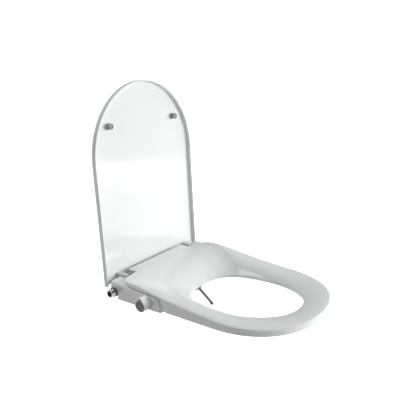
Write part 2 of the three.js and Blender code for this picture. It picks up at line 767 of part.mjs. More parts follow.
function addSeat() {
  const { deck, shell, rear } = SEAT;
  const { y, z, bore } = HINGE;
  const tongueOutline = new THREE.Shape();
  tongueOutline.moveTo(rear - 7, deck - shell);
  tongueOutline.lineTo(TONGUE.rear - 1, deck - shell);
  tongueOutline.quadraticCurveTo(TONGUE.rear, deck - 0.5, TONGUE.rear - 3, deck - 0.1);
  tongueOutline.lineTo(rear - 7, deck - 0.1);
  let ring = join(seatRing(), acrossX(tongueOutline, [-TONGUE.halfWidth, TONGUE.halfWidth]));
  for (const side of [-1, 1]) {
    const across = [side * SEAT_HINGE.from, side * SEAT_HINGE.to].sort((a, b) => a - b);
    const barrel = join(
      rod("x", across, [y, z], SEAT_HINGE.r),
      box(across, [y - 6, y + 6], [z, deck - shell + 0.5]),
      box(across, [-8, y], [z + 3, deck - shell + 0.5]),
    );
    ring = join(ring, barrel);
    const hollow = [side * (SEAT_HINGE.from + SLEEVE.end), side * (SEAT_HINGE.to + 2)].sort((a, b) => a - b);
    ring = cut(
      ring,
      rod("x", hollow, [y, z], SEAT_HINGE.r - SLEEVE.wall),
      rod("x", [across[0] - 2, across[1] + 2], [y, z], bore),
    );
  }
  for (const [px, py, top] of SEAT_PADS) ring = join(ring, rod("z", [6, top], [px, py], 6, SMALL));
  add("seat_ring", ring, WHITE);

  const sleeve = [-SEAT_HINGE.to + SLEEVE.play, -SEAT_HINGE.from - SLEEVE.end - SLEEVE.play];
  addPair("seat_damper", damper(sleeve, SEAT_HINGE.r - SLEEVE.wall - GAP), DARK_GREY);
  SEAT_PADS.forEach(([px, py], i) => {
    add("seat_pad_" + (i + 1), rod("z", [0, 5.7], [px, py], 9), RUBBER);
  });
}

// ---- lid ----
// In the lid's own frame X is across, Y runs up the open lid and Z is out of its inner face.
function lidOutline(inset, bottom) {
  const s = new THREE.Shape();
  const { halfWidth, length, endLength } = LID;
  const w = halfWidth - inset;
  s.moveTo(-w, bottom);
  s.lineTo(w, bottom);
  s.lineTo(w, length - endLength);
  s.absellipse(0, length - endLength, w, endLength - inset, 0, Math.PI);
  return s;
}

function addLid() {
  const { length, depth, panel, rim, lean, bottom } = LID;
  const frame = new THREE.Group();
  frame.rotation.x = Math.PI / 2 - lean;
  frame.position.set(0, bottom.y, bottom.z);
  object.add(frame);

  const bevel = 4;
  const shell = solid(
    new THREE.ExtrudeGeometry(lidOutline(0, 0), {
      depth: depth,
      curveSegments: 28,
      bevelThickness: bevel,
      bevelSize: bevel,
      bevelOffset: -bevel,
      bevelSegments: 2,
    }).translate(0, 0, bevel),
  );
  const everything = box([-300, 300], [-50, length + 50], [-10, depth]);
  const recess = new THREE.ExtrudeGeometry(lidOutline(rim, -20), {
    depth: depth,
    curveSegments: 28,
    bevelEnabled: false,
  }).translate(0, 0, panel);
  const blunt = box([-300, 300], [-10, 1.2], [-10, depth + 5]);
  const lid = cut(shell.intersect(everything), solid(recess), blunt);
  add("lid", lid, WHITE, frame);

  for (const [side, name] of [
    [-1, "lid_bumper_right"],
    [1, "lid_bumper_left"],
  ]) {
    const { x, up, r, tall } = LID_BUMPER;
    const foot = panel + GAP;
    const post = cut(
      rod("z", [foot, foot + tall], [side * x, up], r),
      rod("z", [foot + tall - 1.5, foot + tall + 1], [side * x, up], r - 2.5),
    );
    add(name, post, RUBBER, frame);
  }

  const { y, z, bore } = HINGE;
  const across = [-LID_HINGE.to, -LID_HINGE.from];
  const inner = (height) => bottom.y - (panel + GAP) / Math.cos(lean) + (height - bottom.z) * Math.tan(lean);
  const outline = shapeOf([
    [y, z - LID_HINGE.r],
    [inner(31), 31],
    [inner(z + LID_HINGE.r), z + LID_HINGE.r],
    [y, z + LID_HINGE.r],
  ]);
  const arm = cut(
    join(acrossX(outline, across), rod("x", across, [y, z], LID_HINGE.r)),
    rod("x", [across[0] + SLEEVE.end, across[1] + 2], [y, z], LID_HINGE.r - SLEEVE.wall),
    rod("x", [across[0] - 2, across[1] + 2], [y, z], bore),
  );
  addPair("lid_arm", arm, LIGHT_GREY);
  const sleeve = [across[0] + SLEEVE.end + SLEEVE.play, across[1] - SLEEVE.play];
  addPair("lid_damper", damper(sleeve, LID_HINGE.r - SLEEVE.wall - GAP), DARK_GREY);
}

addBase();
addWaterPath();
addKnob();
addNozzles();
addSeat();
addLid();

export default object;
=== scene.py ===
import json
import math

import bmesh
import bpy
import numpy as np
from mathutils import Matrix, Vector


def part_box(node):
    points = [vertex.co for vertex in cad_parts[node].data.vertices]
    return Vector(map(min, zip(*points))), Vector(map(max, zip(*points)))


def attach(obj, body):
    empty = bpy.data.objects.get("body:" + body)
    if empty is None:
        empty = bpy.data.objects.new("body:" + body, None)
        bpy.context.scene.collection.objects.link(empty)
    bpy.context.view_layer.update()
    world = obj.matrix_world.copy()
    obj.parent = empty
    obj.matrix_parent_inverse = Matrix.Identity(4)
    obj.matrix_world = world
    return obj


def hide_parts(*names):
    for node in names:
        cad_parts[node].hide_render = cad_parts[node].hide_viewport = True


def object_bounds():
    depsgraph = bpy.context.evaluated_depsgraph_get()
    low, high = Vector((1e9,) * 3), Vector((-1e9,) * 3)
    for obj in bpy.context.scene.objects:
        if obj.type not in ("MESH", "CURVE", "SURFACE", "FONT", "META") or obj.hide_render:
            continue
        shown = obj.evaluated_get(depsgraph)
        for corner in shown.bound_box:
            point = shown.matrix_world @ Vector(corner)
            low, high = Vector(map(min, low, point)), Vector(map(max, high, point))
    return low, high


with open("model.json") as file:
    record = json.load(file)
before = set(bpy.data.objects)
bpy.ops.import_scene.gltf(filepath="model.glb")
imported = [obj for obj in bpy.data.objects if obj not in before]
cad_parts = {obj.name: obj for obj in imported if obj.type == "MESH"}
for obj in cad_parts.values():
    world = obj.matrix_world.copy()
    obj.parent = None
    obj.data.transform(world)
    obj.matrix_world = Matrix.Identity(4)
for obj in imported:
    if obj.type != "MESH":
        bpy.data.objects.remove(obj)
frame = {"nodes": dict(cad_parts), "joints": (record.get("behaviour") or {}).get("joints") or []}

# The visual model of a water-pressure bidet seat. Shapes are worked out in millimetres, as the frame's
# design is, and stored in metres. +Z is up, and the sitting user faces -Y.
CAD_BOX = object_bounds()
MM = 0.001
GAP = 0.3  # between pieces that sit against each other


# ---------------------------------------------------------------- frame values
def span(node, axis):
    """The lowest and highest millimetre of a frame node along axis 0, 1 or 2."""
    lo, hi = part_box(node)
    return lo[axis] / MM, hi[axis] / MM


def centre(node):
    lo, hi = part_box(node)
    return (lo + hi) / (2 * MM)


JOINTS = {joint["name"]: joint for joint in frame["joints"]}
HINGE_Y, HINGE_Z = (value / MM for value in JOINTS["seat_lift"]["pos_m"][1:])
SEAT_HALF = span("seat_ring", 0)[1]
SEAT_NOSE = span("seat_ring", 1)[0]
TONGUE_REAR = span("seat_ring", 1)[1]
LID_HALF = span("lid", 0)[1]


# ---------------------------------------------------------------- mesh helpers
def finish_mesh(name, mesh, body, material, stands_for=(), sharp=35):
    """Links a mesh as a piece that rides on a body, smooth except across edges sharper than the angle."""
    mesh.shade_smooth()
    mesh.set_sharp_from_angle(angle=math.radians(sharp))
    piece = bpy.data.objects.new(name, mesh)
    bpy.context.scene.collection.objects.link(piece)
    mesh.materials.append(material)
    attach(piece, body)
    if stands_for:
        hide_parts(*stands_for)
    return piece


def mesh_of(name, bm):
    """A mesh in metres, facing out, from a bmesh in millimetres."""
    bmesh.ops.remove_doubles(bm, verts=bm.verts, dist=1e-3)
    bmesh.ops.recalc_face_normals(bm, faces=bm.faces)
    bmesh.ops.scale(bm, vec=(MM, MM, MM), verts=bm.verts)
    mesh = bpy.data.meshes.new(name)
    bm.to_mesh(mesh)
    bm.free()
    return mesh


def loft(rings, join_ends=False, cap_ends=False):
    """A bmesh through closed rings of equally many points; the last ring can join the first."""
    bm = bmesh.new()
    rows = [[bm.verts.new(p) for p in ring] for ring in rings]
    pairs = list(zip(rows, rows[1:]))
    if join_ends:
        pairs.append((rows[-1], rows[0]))
    for a, b in pairs:
        for i in range(len(a)):
            j = (i + 1) % len(a)
            bm.faces.new((a[i], a[j], b[j], b[i]))
    if cap_ends:
        bm.faces.new(rows[0][::-1])
        bm.faces.new(rows[-1])
    return bm


def rounded(corners, steps=5, closed=False):
    """A polyline of (a, b, radius) corners with each corner turned into an arc of its radius."""
    count = len(corners)
    points = []
    for i, (a, b, radius) in enumerate(corners):
        here = Vector((a, b))
        at_end = not closed and i in (0, count - 1)
        if radius <= 0 or at_end:
            points.append(here)
            continue
        before = Vector(corners[i - 1][:2]) - here
        after = Vector(corners[(i + 1) % count][:2]) - here
        half = before.angle(after) / 2
        reach = min(radius / math.tan(half), 0.49 * before.length, 0.49 * after.length)
        start, end = before.normalized() * reach, after.normalized() * reach
        for k in range(steps + 1):
            t = k / steps
            points.append(here + start * (1 - t) ** 2 + end * t**2)
    return points


def turned(profile, origin, direction, segments=72, steps=4):
    """A bmesh turned about a direction; profile holds (along, radius, corner radius) in millimetres."""
    axis = Vector(direction).normalized()
    side = axis.orthogonal().normalized()
    other = axis.cross(side)
    closed = profile[0][1] > 0
    rings = []
    for along, radius in rounded(profile, steps, closed):
        ring = []
        for k in range(segments):
            turn = 2 * math.pi * k / segments
            out = side * math.cos(turn) + other * math.sin(turn)
            ring.append(Vector(origin) + axis * along + out * radius)
        rings.append(ring)
    return loft(rings, join_ends=closed)


def cut_by(piece, cutter_bm):
    """Cuts a closed bmesh out of a piece, and leaves no modifier or cutter behind."""
    cutter = bpy.data.objects.new("cutter", mesh_of("cutter", cutter_bm))
    bpy.context.scene.collection.objects.link(cutter)
    modifier = piece.modifiers.new("cut", "BOOLEAN")
    modifier.object = cutter
    modifier.operation = "DIFFERENCE"
    modifier.solver = "EXACT"
    graph = bpy.context.evaluated_depsgraph_get()
    result = bpy.data.meshes.new_from_object(piece.evaluated_get(graph))
    piece.modifiers.clear()
    piece.data = result
    bpy.data.objects.remove(cutter)


def block(x, y, z):
    """A closed box as a bmesh, from three (low, high) pairs in millimetres."""
    corners = [(x[0], y[0]), (x[1], y[0]), (x[1], y[1]), (x[0], y[1])]
    return loft([[(a, b, h) for a, b in corners] for h in z], cap_ends=True)


def soften(piece, width, segments=3, angle=30):
    """Rounds a piece's real edges, so that they catch the light as moulded edges do."""
    bevel = piece.modifiers.new("edges", "BEVEL")
    bevel.width = width * MM
    bevel.segments = segments
    bevel.limit_method = "ANGLE"
    bevel.angle_limit = math.radians(angle)
    bevel.use_clamp_overlap = True
    bevel.harden_normals = False
    return piece


def finished_node(node, body, material, width, angle=30):
    """A frame node's shape as a clean mesh with rounded edges, which stands for that node."""
    bm = bmesh.new()
    bm.from_mesh(frame["nodes"][node].data)
    bmesh.ops.remove_doubles(bm, verts=bm.verts, dist=1e-6)
    bmesh.ops.dissolve_limit(bm, angle_limit=math.radians(0.6), verts=bm.verts, edges=bm.edges)
    bmesh.ops.recalc_face_normals(bm, faces=bm.faces)
    mesh = bpy.data.meshes.new(node + "_finished")
    bm.to_mesh(mesh)
    bm.free()
    for layer in [a for a in mesh.attributes if a.name == "custom_normal"]:
        mesh.attributes.remove(layer)
    piece = finish_mesh(node + "_finished", mesh, body, material, (node,), sharp=angle)
    return soften(piece, width, angle=angle)


# ---------------------------------------------------------------- materials
def new_material(name, colour, roughness, metallic=0.0):
    material = bpy.data.materials.new(name)
    material.use_nodes = True
    tree = material.node_tree
    shader = tree.nodes["Principled BSDF"]
    shader.inputs["Base Color"].default_value = (*colour, 1)
    shader.inputs["Roughness"].default_value = roughness
    shader.inputs["Metallic"].default_value = metallic
    return material, tree, shader


def noise(tree, scale, detail=3.0, roughness=0.5, stretch=(1, 1, 1)):
    """Noise over the object's own metres, stretched along its axes."""
    place = tree.nodes.new("ShaderNodeTexCoord")
    mapping = tree.nodes.new("ShaderNodeMapping")
    mapping.inputs["Scale"].default_value = stretch
    tree.links.new(place.outputs["Object"], mapping.inputs["Vector"])
    texture = tree.nodes.new("ShaderNodeTexNoise")
    texture.inputs["Scale"].default_value = scale
    texture.inputs["Detail"].default_value = detail
    texture.inputs["Roughness"].default_value = roughness
    tree.links.new(mapping.outputs["Vector"], texture.inputs["Vector"])
    return texture.outputs["Fac"]


def vary_colour(tree, shader, factor, low, high):
    ramp = tree.nodes.new("ShaderNodeValToRGB")
    ramp.color_ramp.elements[0].position = 0.3
    ramp.color_ramp.elements[1].position = 0.7
    ramp.color_ramp.elements[0].color = (*low, 1)
    ramp.color_ramp.elements[1].color = (*high, 1)
    tree.links.new(factor, ramp.inputs["Fac"])
    tree.links.new(ramp.outputs["Color"], shader.inputs["Base Color"])


def vary_roughness(tree, shader, factor, low, high):
    spread = tree.nodes.new("ShaderNodeMapRange")
    spread.inputs["From Min"].default_value = 0.3
    spread.inputs["From Max"].default_value = 0.7
    spread.inputs["To Min"].default_value = low
    spread.inputs["To Max"].default_value = high
    tree.links.new(factor, spread.inputs["Value"])
    tree.links.new(spread.outputs["Result"], shader.inputs["Roughness"])


def add_bump(tree, shader, factor, strength, distance):
    bump = tree.nodes.new("ShaderNodeBump")
    bump.inputs["Strength"].default_value = strength
    bump.inputs["Distance"].default_value = distance
    tree.links.new(factor, bump.inputs["Height"])
    tree.links.new(bump.outputs["Normal"], shader.inputs["Normal"])


def gloss_white():
    """Polished moulding: a clear gloss over a faint, slow ripple, and a barely uneven cool white."""
    material, tree, shader = new_material("gloss_white", (0.80, 0.83, 0.83), 0.1)
    shader.inputs["Coat Weight"].default_value = 0.5
    shader.inputs["Coat Roughness"].default_value = 0.03
    shader.inputs["IOR"].default_value = 1.5
    vary_colour(tree, shader, noise(tree, 9, 4), (0.785, 0.812, 0.815), (0.81, 0.835, 0.838))
    vary_roughness(tree, shader, noise(tree, 260, 2), 0.08, 0.14)
    add_bump(tree, shader, noise(tree, 45, 1), 0.06, 0.0004)
    return material


def satin(name, colour, roughness, grain=900, strength=0.12):
    """Satin moulded plastic with a fine even grain."""
    material, tree, shader = new_material(name, colour, roughness)
    low = tuple(0.95 * c for c in colour)
    high = tuple(min(1, 1.05 * c) for c in colour)
    vary_colour(tree, shader, noise(tree, 60, 3), low, high)
    vary_roughness(tree, shader, noise(tree, 300, 2), roughness - 0.05, roughness + 0.06)
    add_bump(tree, shader, noise(tree, grain, 2), strength, 0.0002)
    return material


def rubber(name, colour):
    material, tree, shader = new_material(name, colour, 0.75)
    low = tuple(0.9 * c for c in colour)
    high = tuple(min(1, 1.08 * c) for c in colour)
    vary_colour(tree, shader, noise(tree, 220, 5, 0.65), low, high)
    vary_roughness(tree, shader, noise(tree, 500, 3), 0.68, 0.85)
    add_bump(tree, shader, noise(tree, 1400, 3), 0.25, 0.0002)
    return material


def brushed_metal(name, colour, roughness, along=(1, 40, 40)):
    """Drawn or turned metal, with fine marks that run along one axis."""
    material, tree, shader = new_material(name, colour, roughness, 1.0)
    low = tuple(0.9 * c for c in colour)
    high = tuple(min(1, 1.06 * c) for c in colour)
    marks = noise(tree, 120, 4, 0.6, along)
    vary_colour(tree, shader, noise(tree, 35, 3), low, high)
    vary_roughness(tree, shader, marks, roughness - 0.07, roughness + 0.08)
    add_bump(tree, shader, marks, 0.08, 0.0001)
    return material


def hose_plastic():
    material, tree, shader = new_material("hose_plastic", (0.66, 0.7, 0.7), 0.35)
    shader.inputs["Subsurface Weight"].default_value = 0.3
    shader.inputs["Subsurface Radius"].default_value = (0.004, 0.004, 0.004)
    vary_colour(tree, shader, noise(tree, 40, 3), (0.6, 0.64, 0.64), (0.7, 0.73, 0.73))
    vary_roughness(tree, shader, noise(tree, 180, 2), 0.28, 0.42)
    return material


WHITE = gloss_white()
ARM_GREY = satin("satin_light_grey", (0.58, 0.61, 0.62), 0.3)
KNOB_GREY = satin("knob_light_grey", (0.87, 0.88, 0.88), 0.24)
PLATE_GREY = satin("plate_grey", (0.55, 0.57, 0.58), 0.42)
DARK = satin("satin_dark_grey", (0.13, 0.14, 0.145), 0.38)
KNOB_FACE = satin("knob_face_grey", (0.125, 0.13, 0.13), 0.42)
BLACK = satin("satin_black", (0.02, 0.021, 0.023), 0.4)
RUBBER = rubber("grey_rubber", (0.26, 0.27, 0.27))
BUMPER = rubber("pale_rubber", (0.34, 0.36, 0.36))
STEEL = brushed_metal("brushed_steel", (0.46, 0.46, 0.46), 0.28)
TUBE_STEEL = brushed_metal("nozzle_steel", (0.42, 0.42, 0.42), 0.25, (40, 6, 40))
HOSE = hose_plastic()


# ---------------------------------------------------------------- seat
HOLE_HALF = 108.5
HOLE_FRONT, HOLE_WIDEST, HOLE_REAR = -403.0, -262.0, -128.0
HOLE_FRONT_POWER, HOLE_REAR_POWER = 2.17, 2.7
RIM_FRONT, RIM_REAR = 14.8, 8.2  # height of the hole's rim
ROLL_FRONT, ROLL_REAR = 3.0, 7.0  # radius between the dished top and the hole's face
LIP_FRONT, LIP_REAR = 10.0, 7.0  # depth of the hole's face
DISH = 2.4  # how late the top falls towards the hole
SHELL = 3.0
SEAT_WALL = 2.6
SEAT_REAR = -1.0
CORNER, CORNER_LONG = 40.0, 42.0  # how far each rear corner's curve reaches across and along
REAR_SLANT = 2.0  # how far the rear edge runs forward on its way out to the corners
WAIST = 4.0  # how much narrower the seat is at its rear corners
NOSE_LENGTH = 176.0  # from the nose to where the seat is widest
NOSE_POWER = 2.2
DECK = 50.0  # height of the level rear deck
NOSE_EDGE, RISE, RISE_LENGTH, RISE_POWER = 20.8, 47.9, 490.0, 2.4  # of the top edge, from the nose
WALL_FOOT = 5.0  # height of the outer wall's lower edge in front of the pods
EDGE_ROUND, TONGUE_ROUND = 6.0, 1.3  # radius of the top's outer edge
POD_CLEARANCE = 1.6  # between the pods and the outer wall's lower edge
TONGUE_HALF, TONGUE_BLEND = 112.0, 4.0  # the outer wall ends within the blend behind the rear edge
BASE_HALF, BASE_TOP, BASE_REAR = 183.0, 43.0, 23.0
BASE_SLOPE = math.tan(math.radians(3.6))
BASE_EDGE, BASE_EDGE_DROP = 12.0, 4.5  # how wide and how deep the edge round each outer side is
POD_FRONT, POD_SHOULDER = -138.0, -121.0
SEAT_BARREL, BARREL_R, BARREL_BORE = (84, 108), 9, 3.4
PAD_R, BOSS_R = 9, 6
REAR_BOSS_TOP, FRONT_BOSS_TOP = 25.4, 16.3  # where the pads' bosses end inside the shell


def base_top(y):
    return BASE_TOP - (BASE_REAR - y) * BASE_SLOPE


def superellipse(turn, a, b, power):
    c, s = math.cos(turn), math.sin(turn)
    x = a * math.copysign(abs(c) ** (2 / power), c)
    return x, b * math.copysign(abs(s) ** (2 / power), s)


def seat_outline():
    """Half the seat's plan outline, from its nose round to the middle of the tongue's rear edge."""
    points = []
    widest = SEAT_NOSE + NOSE_LENGTH
    for i in range(57):
        x, y = superellipse(-math.pi / 2 * (1 - i / 56), SEAT_HALF, NOSE_LENGTH, NOSE_POWER)
        points.append((x, widest + y))
    corner = SEAT_REAR - REAR_SLANT - CORNER_LONG
    for i in range(1, 31):
        points.append((SEAT_HALF - WAIST * (i / 30) ** 2, widest + (corner - widest) * i / 30))
    x = SEAT_HALF - WAIST - CORNER
    for i in range(1, 25):
        turn = math.pi / 2 * i / 24
        points.append((x + CORNER * math.cos(turn), corner + CORNER_LONG * math.sin(turn)))
    inner = 60.0  # from here to the middle the rear edge is divided evenly
    notch = [
        (x, SEAT_REAR - REAR_SLANT, 0),
        (TONGUE_HALF, SEAT_REAR, 3.5),
        (TONGUE_HALF, TONGUE_REAR, 3.0),
        (inner, TONGUE_REAR, 0),
    ]
    points += [tuple(p) for p in rounded(notch, 6)[1:]]
    points += [(inner - inner * i / 8, TONGUE_REAR) for i in range(1, 9)]
    return np.array(points)


def hole_point(share):
    """A point on half the hole's outline, by its share of the way from the front to the rear."""
    line = []
    for turn in np.linspace(-math.pi / 2, math.pi / 2, 401):
        reach, power = HOLE_WIDEST - HOLE_FRONT, HOLE_FRONT_POWER
        if turn > 0:
            reach, power = HOLE_REAR - HOLE_WIDEST, HOLE_REAR_POWER
        line.append(superellipse(turn, HOLE_HALF, reach, power))
    line = np.array(line) + (0, HOLE_WIDEST)
    length = np.concatenate([[0], np.cumsum(np.linalg.norm(np.diff(line, axis=0), axis=1))])
    at = np.asarray(share) * length[-1]
    return np.column_stack([np.interp(at, length, line[:, 0]), np.interp(at, length, line[:, 1])])


def edge_height(y):
    """Top edge of the seat: low at the nose, rising in a curve to the level deck."""
    rising = NOSE_EDGE + RISE * max(0.0, (y - SEAT_NOSE) / RISE_LENGTH) ** RISE_POWER
    soft = 2.2  # how gently the curve meets the deck
    return -soft * math.log(math.exp(-rising / soft) + math.exp(-DECK / soft))


def wall_foot(y):
    """Lower edge of the seat's outer wall, which lifts over the base's pods."""
    start, end = POD_FRONT - 6, POD_SHOULDER - 4  # between these the edge rises over the pod's front
    if y < start:
        return WALL_FOOT
    if y > end:
        return base_top(y) + POD_CLEARANCE
    t = (y - start) / (end - start)
    lift = base_top(end) + POD_CLEARANCE - WALL_FOOT
    return WALL_FOOT + lift * math.sqrt(1 - (1 - t) ** 2)


def along_hole(y, at_front, at_rear):
    """A value that changes evenly from the hole's front to its rear."""
    return at_front + (at_rear - at_front) * (y - HOLE_FRONT) / (HOLE_REAR - HOLE_FRONT)


def seat_section(outer, hole):
    """Closed section from the wall's foot over the top to the hole's lip, and back underneath."""
    span_mm = math.dist(outer, hole)
    edge = edge_height(min(outer[1], SEAT_REAR))
    behind = max(0.0, outer[1] - SEAT_REAR) / (outer[1] - hole[1])
    tongue = min(1.0, max(0.0, (outer[1] - SEAT_REAR) / TONGUE_BLEND))
    foot = wall_foot(min(outer[1], SEAT_REAR)) * (1 - tongue) + (DECK - SHELL) * tongue
    edge_round = EDGE_ROUND * (1 - tongue) + TONGUE_ROUND * tongue
    rim = along_hole(hole[1], RIM_FRONT, RIM_REAR)
    roll = along_hole(hole[1], ROLL_FRONT, ROLL_REAR)
    # the roll turns from the slope of the top to upright
    slope = math.atan(DISH * (edge - rim) / (span_mm * (1 - behind)))
    reach = span_mm - roll * (1 - math.sin(slope))

    def top(distance):
        dish = max(0.0, (distance / reach - behind) / (1 - behind))
        return edge - (edge - rim) * min(1.0, dish) ** DISH

    corners = [(SEAT_WALL, foot, 0.7), (0, foot, 0.9), (0, edge, edge_round)]
    first = 13.0  # the top's own points start inside the rounded edge
    for i in range(22):
        d = first + (reach - first) * i / 21
        corners.append((d, top(d), 0))
    for i in range(1, 9):
        turn = slope + (math.pi / 2 - slope) * i / 8
        d = span_mm - roll * (1 - math.sin(turn))
        corners.append((d, rim - roll * (math.cos(slope) - math.cos(turn)), 0))
    lip = rim - along_hole(hole[1], LIP_FRONT, LIP_REAR)
    corners += [
        (span_mm, lip, 0.9),
        (span_mm - SEAT_WALL, lip, 0.8),
        (span_mm - SEAT_WALL - 2, rim - SHELL, 1.2),
    ]
    start, end = span_mm - 14, SEAT_WALL + 5  # the shell's underside follows its top between these
    for i in range(8):
        d = start + (end - start) * i / 7
        corners.append((d, top(d) - SHELL, 0))
    corners.append((SEAT_WALL, edge - SHELL, 1.8))
    return rounded(corners, 6, closed=True)


def seat_mesh():
    half = seat_outline()
    length = np.concatenate([[0], np.cumsum(np.linalg.norm(np.diff(half, axis=0), axis=1))])
    holes = hole_point(length / length[-1])
    stations = [(x, y, hx, hy, 1) for (x, y), (hx, hy) in zip(half, holes)]
    stations += [(x, y, hx, hy, -1) for x, y, hx, hy, _ in stations[-2:0:-1]]
    rings = []
    for x, y, hx, hy, side in stations:
        across = Vector((hx - x, hy - y)).normalized()
        section = seat_section((x, y), (hx, hy))
        rings.append([(side * (x + across.x * d), y + across.y * d, z) for d, z in section])
    return mesh_of("seat_shell", loft(rings, join_ends=True))


def make_seat():
    finish_mesh("seat_shell", seat_mesh(), "seat", WHITE, ("seat_ring",), sharp=50)
    for side, name in ((-1, "right"), (1, "left")):
        low, high = sorted(side * end for end in SEAT_BARREL)
        ring = [
            (low, BARREL_BORE, 0.3),
            (low, BARREL_R, 0.8),
            (high, BARREL_R, 0.8),
            (high, BARREL_BORE, 0.3),
        ]
        barrel = turned(ring, (0, HINGE_Y, HINGE_Z), (1, 0, 0), 56)
        finish_mesh("seat_barrel_" + name, mesh_of("seat_barrel", barrel), "seat", WHITE)
        web = block((low, high), (-6, HINGE_Y - 1), (HINGE_Z + 5.5, DECK - SHELL + 0.4))
        piece = finish_mesh("seat_web_" + name, mesh_of("seat_web", web), "seat", WHITE)
        soften(piece, 0.6)
    for i in range(1, 5):
        node = f"seat_pad_{i}"
        x, y, _ = centre(node)
        low, high = span(node, 2)
        pad = [
            (low, 0, 0),
            (low, PAD_R, 1.6),
            (high - 1, PAD_R, 0.6),
            (high, PAD_R - 1, 0.5),
            (high, 0, 0),
        ]
        mesh = mesh_of(node, turned(pad, (x, y, 0), (0, 0, 1), 48))
        finish_mesh(node + "_turned", mesh, "seat", RUBBER, (node,))
        roof = REAR_BOSS_TOP if y > HOLE_WIDEST else FRONT_BOSS_TOP
        foot = high + GAP
        boss = [(foot, 0, 0), (foot, BOSS_R, 0.5), (roof, BOSS_R + 0.4, 0), (roof, 0, 0)]
        mesh = mesh_of("boss", turned(boss, (x, y, 0), (0, 0, 1), 40))
        finish_mesh(f"seat_boss_{i}", mesh, "seat", WHITE)


# ---------------------------------------------------------------- lid
LID_LENGTH, LID_END = 493.0, 188.0  # in all, and of its rounded end
LID_DEPTH, LID_PANEL, LID_RIM = 14.2, 3.0, 3.0
LID_RUNOUT, LID_CUT = 40, 1.2  # the outline runs on past the bottom edge, and is cut off there
LID_CAP = 60  # inset at which the panel's faces are closed
LID_LEAN = math.radians(3.0)
LID_FOOT = Vector((0, 40.3, 23.8))  # middle of its bottom edge, on the outer face
BUMPER_TALL, BUMPER_R = 11.6, 7.5
LID_FRAME = Matrix.Translation(LID_FOOT) @ Matrix.Rotation(math.pi / 2 - LID_LEAN, 4, "X")


def lid_loop(inset, height):
    """The lid's outline in its own frame, shrunk by inset, with a runout past its bottom edge."""
    half, end = LID_HALF - inset, LID_END - inset
    straight = LID_LENGTH - LID_END
    points = [(x, -LID_RUNOUT, height) for x in (-half, 0, half)]
    points += [(half, v, height) for v in np.linspace(0, straight, 12)]
    for i in range(1, 96):
        turn = math.pi * i / 96
        points.append((half * math.cos(turn), straight + end * math.sin(turn), height))
    points += [(-half, v, height) for v in np.linspace(straight, 0, 12)]
    return points


def make_lid():
    profile = rounded(
        [
            (LID_CAP, 0, 0),
            (0, 0, 5.0),
            (0, LID_DEPTH, 1.1),
            (LID_RIM, LID_DEPTH, 1.1),
            (LID_RIM, LID_PANEL, 3.2),
            (LID_CAP, LID_PANEL, 0),
        ],
        6,
    )
    bm = loft([lid_loop(inset, height) for inset, height in profile], cap_ends=True)
    geometry = bm.verts[:] + bm.edges[:] + bm.faces[:]
    cut = bmesh.ops.bisect_plane(
        bm, geom=geometry, plane_co=(0, LID_CUT, 0), plane_no=(0, -1, 0), clear_outer=True
    )
    rim = [e for e in cut["geom_cut"] if isinstance(e, bmesh.types.BMEdge)]
    bmesh.ops.edgenet_fill(bm, edges=rim)
    bmesh.ops.transform(bm, matrix=LID_FRAME, verts=bm.verts)
    lid = finish_mesh("lid_shell", mesh_of("lid_shell", bm), "lid", WHITE, ("lid",))
    soften(lid, 0.7, angle=50)

    out = (0, -math.cos(LID_LEAN), math.sin(LID_LEAN))
    for name in ("lid_bumper_right", "lid_bumper_left"):
        origin = centre(name) - Vector(out) * (BUMPER_TALL / 2)
        # a ring round a sunken groove, with a button in its middle
        groove, button = BUMPER_TALL - 1.5, BUMPER_TALL - 0.7
        profile = [
            (0, 0, 0),
            (0, BUMPER_R, 0.5),
            (BUMPER_TALL, BUMPER_R, 1.3),
            (BUMPER_TALL, 5.2, 0.6),
            (groove, 4.9, 0.4),
            (groove, 2.0, 0.3),
            (button, 1.6, 0.4),
            (button, 0, 0),
        ]
        mesh = mesh_of(name, turned(profile, origin, out, 56))
        finish_mesh(name + "_turned", mesh, "lid", BUMPER, (name,))
    for side in ("right", "left"):
        finished_node("lid_arm_" + side, "lid", ARM_GREY, 0.9)


# ---------------------------------------------------------------- base
COVER_WALL = 2.5
PIN_BOSS_FRONT, PIN_BOSS_LOW = 4, 32.9  # of the boss for the hinge pin
SLOPE_OUTER, SLOPE_INNER = (167, 37), (100, 12.2)  # (x, z) of the slope under the seat
COVER_INNER, POD_INNER = 113.0, 126.0  # how near the middle a side cover and its pod reach
CUTAWAY, CUTAWAY_FROM = 8.0, -2.0  # behind this y the underside of a side cover is raised
SLOT_FRONT, SLOT_LOW, SLOT_GAP, SLOT_RIB = -6.0, 19.5, 1.3, 2.7  # of the opening for the lid's arm
SLOT_WALL, SLOT_WALL_FRONT, SLOT_WALL_TOP = 126.5, 18.2, 40.5  # wall behind the arm's inner side
FAR, BEHIND, BELOW, ABOVE = 200, 50, -40, 80  # outside the base


def side_outline(wall):
    """The base's side outline as (y, z) points, shrunk by a wall. It reaches far below the base."""
    rear, front = BASE_REAR - wall, POD_FRONT + wall
    start = POD_SHOULDER + 0.7 * wall
    shoulder = base_top(start) - wall
    points = [(rear, -20.0), (rear, base_top(rear) - wall - 3)]
    top = base_top(rear) - wall
    bend = [(rear, top - 3), (rear, top), (rear - 3, base_top(rear - 3) - wall)]
    for i in range(1, 7):
        t = i / 6
        points.append(curve_point(bend, t))
    # handles of the curve from the pod's top down its front
    nose = [(start, shoulder), (front + 7, shoulder - 3), (front, 20.0), (front, 2.0)]
    points += [curve_point(nose, i / 24) for i in range(25)]
    return points + [(front, -20.0)]


def curve_point(handles, t):
    """A point on the Bezier curve of the given handles."""
    points = [Vector(h) for h in handles]
    while len(points) > 1:
        points = [a.lerp(b, t) for a, b in zip(points, points[1:])]
    return tuple(points[0])


